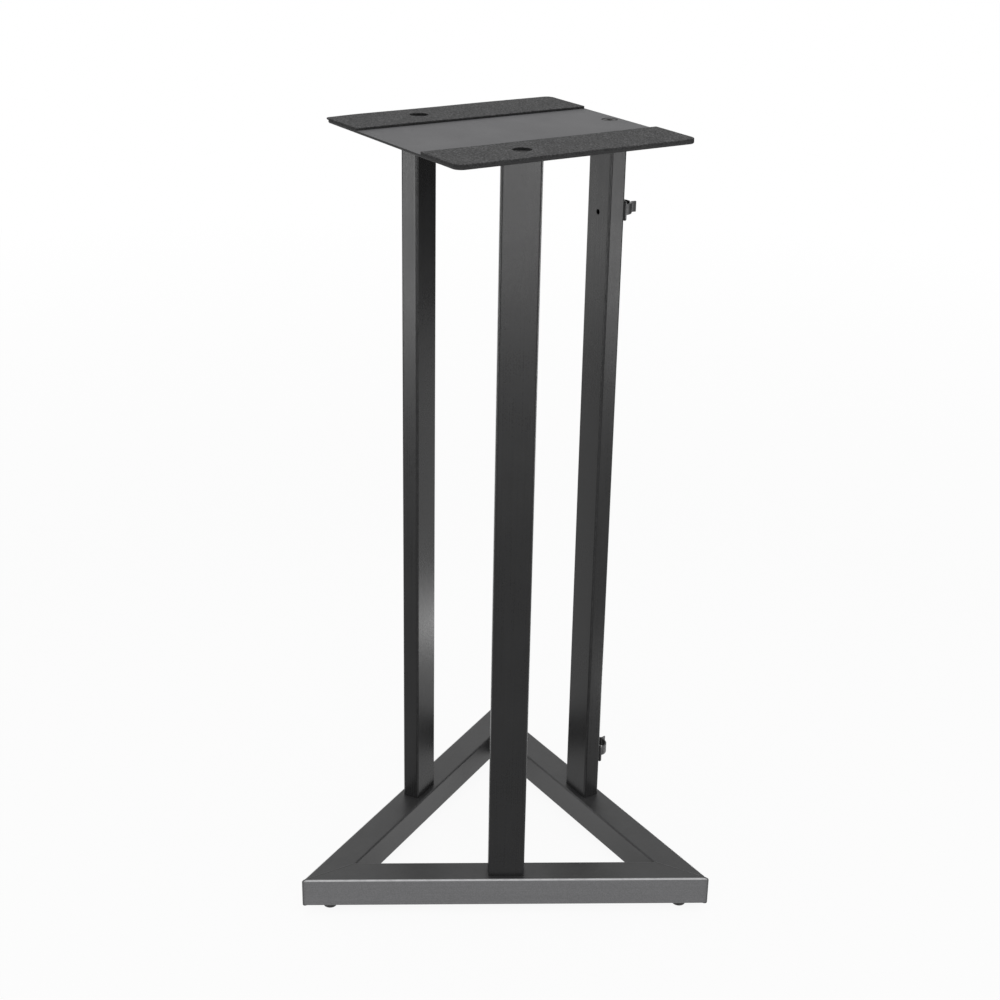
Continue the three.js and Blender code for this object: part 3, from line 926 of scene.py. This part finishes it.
def makeWelds():
    # the mitre's outer corner is a rail's width further out than the foot
    places = {corner: middle(f"foot_{corner}") for corner in baseCorners}
    centre = sum(places.values(), Vector()) / len(places)
    low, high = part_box("base_rail_rear")
    finish = coatMaterial("coatWeld", coats["base_rail"])
    for corner, place in places.items():
        tip = place + (place - centre).normalized() * (2 * tubeHalf["base_rail"][0])
        skin = weldSkin(tip, centre, low.z, high.z)
        makePiece(f"mitreWeld_{corner}", skin, finish, sharpDegrees=60)


makeWelds()
print("scene: mitre welds are ground")


stage = {
    "radius": 9.0, "around": 96, "rings": 12, "firstRing": 0.02, "floorColour": (0.93, 0.93, 0.93),
    "whiteShare": 0.93, "fadeStart": 1.0, "fadeEnd": 3.0, "ambient": 0.42,
}


def seenRays(tree):
    # 1 for camera, glossy and transmission rays, which all see the white background
    path = addNode(tree, "ShaderNodeLightPath")
    shown = mathNode(tree, "MAXIMUM", path.outputs["Is Camera Ray"], path.outputs["Is Glossy Ray"])
    return mathNode(tree, "MAXIMUM", shown, path.outputs["Is Transmission Ray"])


def floorMaterial():
    # white to the rays that are seen, with a small share of the lit floor and its shadow near the stand
    material = bpy.data.materials.new("paleFloor")
    material.use_nodes = True
    tree = material.node_tree
    tree.nodes.remove(tree.nodes["Principled BSDF"])
    diffuse = addNode(tree, "ShaderNodeBsdfDiffuse")
    diffuse.inputs["Color"].default_value = (*stage["floorColour"], 1)
    white = addNode(tree, "ShaderNodeEmission")
    mix = addNode(tree, "ShaderNodeMixShader")
    place = addNode(tree, "ShaderNodeTexCoord").outputs["Object"]
    length = addNode(tree, "ShaderNodeVectorMath", operation="LENGTH")
    tree.links.new(place, length.inputs[0])
    share = rangeNode(tree, length.outputs["Value"], stage["fadeStart"], stage["fadeEnd"],
                      stage["whiteShare"], 1.0)
    tree.links.new(mathNode(tree, "MULTIPLY", seenRays(tree), share), mix.inputs["Fac"])
    tree.links.new(diffuse.outputs[0], mix.inputs[1])
    tree.links.new(white.outputs[0], mix.inputs[2])
    tree.links.new(mix.outputs[0], tree.nodes["Material Output"].inputs["Surface"])
    return material


def makeFloor():
    # rings round the origin, whose radius grows with the square of their number
    turn = roundTurn(stage["around"])
    radius = np.linspace(stage["firstRing"], 1, stage["rings"])[:, None] ** 2 * stage["radius"]
    rings = np.stack([radius * np.cos(turn), radius * np.sin(turn), np.zeros((len(radius), len(turn)))], -1)
    points = np.vstack([rings.reshape(-1, 3), [[0, 0, 0]]])
    faces = gridFaces(*rings.shape[:2]).tolist() + fanFaces(len(points) - 1, np.arange(len(turn))).tolist()
    mesh = bpy.data.meshes.new("studioFloor")
    mesh.from_pydata(points.tolist(), [], faces)
    mesh.materials.append(floorMaterial())
    floor = addObject("studioFloor", mesh)
    return floor


def makeWorld():
    world = bpy.data.worlds.new("studioWorld")
    scene.world = world
    world.use_nodes = True
    tree = world.node_tree
    back = tree.nodes["Background"]
    back.inputs["Color"].default_value = (1, 1, 1, 1)
    strength = rangeNode(tree, seenRays(tree), 0.0, 1.0, stage["ambient"], 1.0)
    tree.links.new(strength, back.inputs["Strength"])


lamps = {                               # place, aim, width, height, watts, what it lights
    "overheadBox": ((0.0, 0.0, 2.3), (0.0, 0.05, 0.5), 1.4, 1.4, 12.6, "all"),
    "edgeBox": ((1.02, -0.50, 1.62), (0.1, 0.0, 0.3), 0.8, 0.14, 4.0, "all"),
    "frontBox": ((2.30, -1.20, 0.75), (0.0, 0.05, 0.9), 0.8, 0.5, 8.0, "stand"),
    "frontLowBox": ((1.95, -1.00, 0.38), (0.1, 0.0, 0.6), 0.6, 0.5, 13.0, "stand"),
    "leftLowBox": ((-0.10, -1.80, 0.26), (-0.1, 0.0, 0.6), 0.6, 0.5, 13.0, "stand"),
    "rightLowBox": ((1.50, 1.25, 0.26), (0.0, 0.15, 0.6), 0.5, 0.5, 8.5, "stand"),
    "rightBox": ((1.30, 1.10, 0.95), (0.0, 0.15, 0.6), 0.5, 0.5, 5.0, "stand"),
    "farLeftLowBox": ((-1.50, -0.95, 0.3), (0.0, 0.15, 0.8), 0.5, 0.4, 1.6, "stand"),
    "rimStrip": ((0.55, 1.15, 0.45), (0.0, 0.0, 0.4), 0.2, 1.1, 20.0, "nearPost"),
    "floorStrip": ((0.02, 0.42, 0.03), (-0.09, 0.0, 0.15), 0.5, 0.06, 0.4, "stand"),
}


def makeLamps(floor):
    # all but the two high lamps leave the floor out, which keeps it even and pale, and one
    # draws the edge of the near post alone
    reach = {lit: bpy.data.collections.new(lit) for lit in ("stand", "nearPost")}
    reach["stand"].objects.link(floor)
    reach["stand"].collection_objects[0].light_linking.link_state = "EXCLUDE"
    reach["nearPost"].objects.link(bpy.data.objects["post_right_skin"])
    for name, (place, aim, width, height, watts, lit) in lamps.items():
        light = bpy.data.lights.new(name, "AREA")
        light.shape = "RECTANGLE"
        light.size = width
        light.size_y = height
        light.energy = watts
        lamp = addObject(name, light)
        lamp.location = place
        lamp.rotation_euler = (Vector(aim) - Vector(place)).to_track_quat("-Z", "Y").to_euler()
        lamp.visible_camera = False
        if lit in reach:
            lamp.light_linking.receiver_collection = reach[lit]


flags = {                               # place, width, height, degrees about Z: dark cards beside the set
    "rightFlag": ((-0.10, 1.65, 0.80), 2.0, 1.4, 0.0),
    "leftFlag": ((-1.55, -1.15, 1.0), 1.4, 0.8, -53.0),
}
cardColour = (0.01, 0.01, 0.01)


def makeFlags():
    # dark cards that reflections alone see
    material = bpy.data.materials.new("darkCard")
    material.use_nodes = True
    material.node_tree.nodes["Principled BSDF"].inputs["Base Color"].default_value = (*cardColour, 1)
    for name, (place, width, height, degrees) in flags.items():
        mesh = bpy.data.meshes.new(name)
        mesh.from_pydata([(x, 0, z) for x, z in boxCorners(width, height)], [], [(0, 1, 2, 3)])
        mesh.materials.append(material)
        card = addObject(name, mesh)
        card.location = place
        card.rotation_euler = (0, 0, math.radians(degrees))
        for ray in ("camera", "diffuse", "shadow", "transmission"):
            setattr(card, f"visible_{ray}", False)


camera = {
    "azimuth": 57.6, "elevation": 22.861, "roll": 1.105, "distance": 1.8022, "lens": 62.66,
    "sensor": 36.0, "aim": (-0.00493, 0.04519, 0.4236),
}


def makeCamera():
    data = bpy.data.cameras.new("camera")
    data.lens = camera["lens"]
    data.sensor_width = camera["sensor"]
    seat = addObject("camera", data)
    azimuth, elevation, roll = (math.radians(camera[key]) for key in ("azimuth", "elevation", "roll"))
    back = Vector((math.sin(azimuth) * math.cos(elevation), -math.cos(azimuth) * math.cos(elevation),
                   math.sin(elevation)))
    right = Vector((math.cos(azimuth), math.sin(azimuth), 0))
    up = back.cross(right)
    rolledRight = math.cos(roll) * right + math.sin(roll) * up
    rolledUp = math.cos(roll) * up - math.sin(roll) * right
    turn = Matrix((rolledRight, rolledUp, back)).transposed().to_4x4()
    seat.matrix_world = Matrix.Translation(Vector(camera["aim"]) + back * camera["distance"]) @ turn
    scene.camera = seat


makeWorld()
makeLamps(makeFloor())
makeFlags()
makeCamera()
scene.view_settings.view_transform = "Standard"
print("scene: floor, lamps and camera are set")
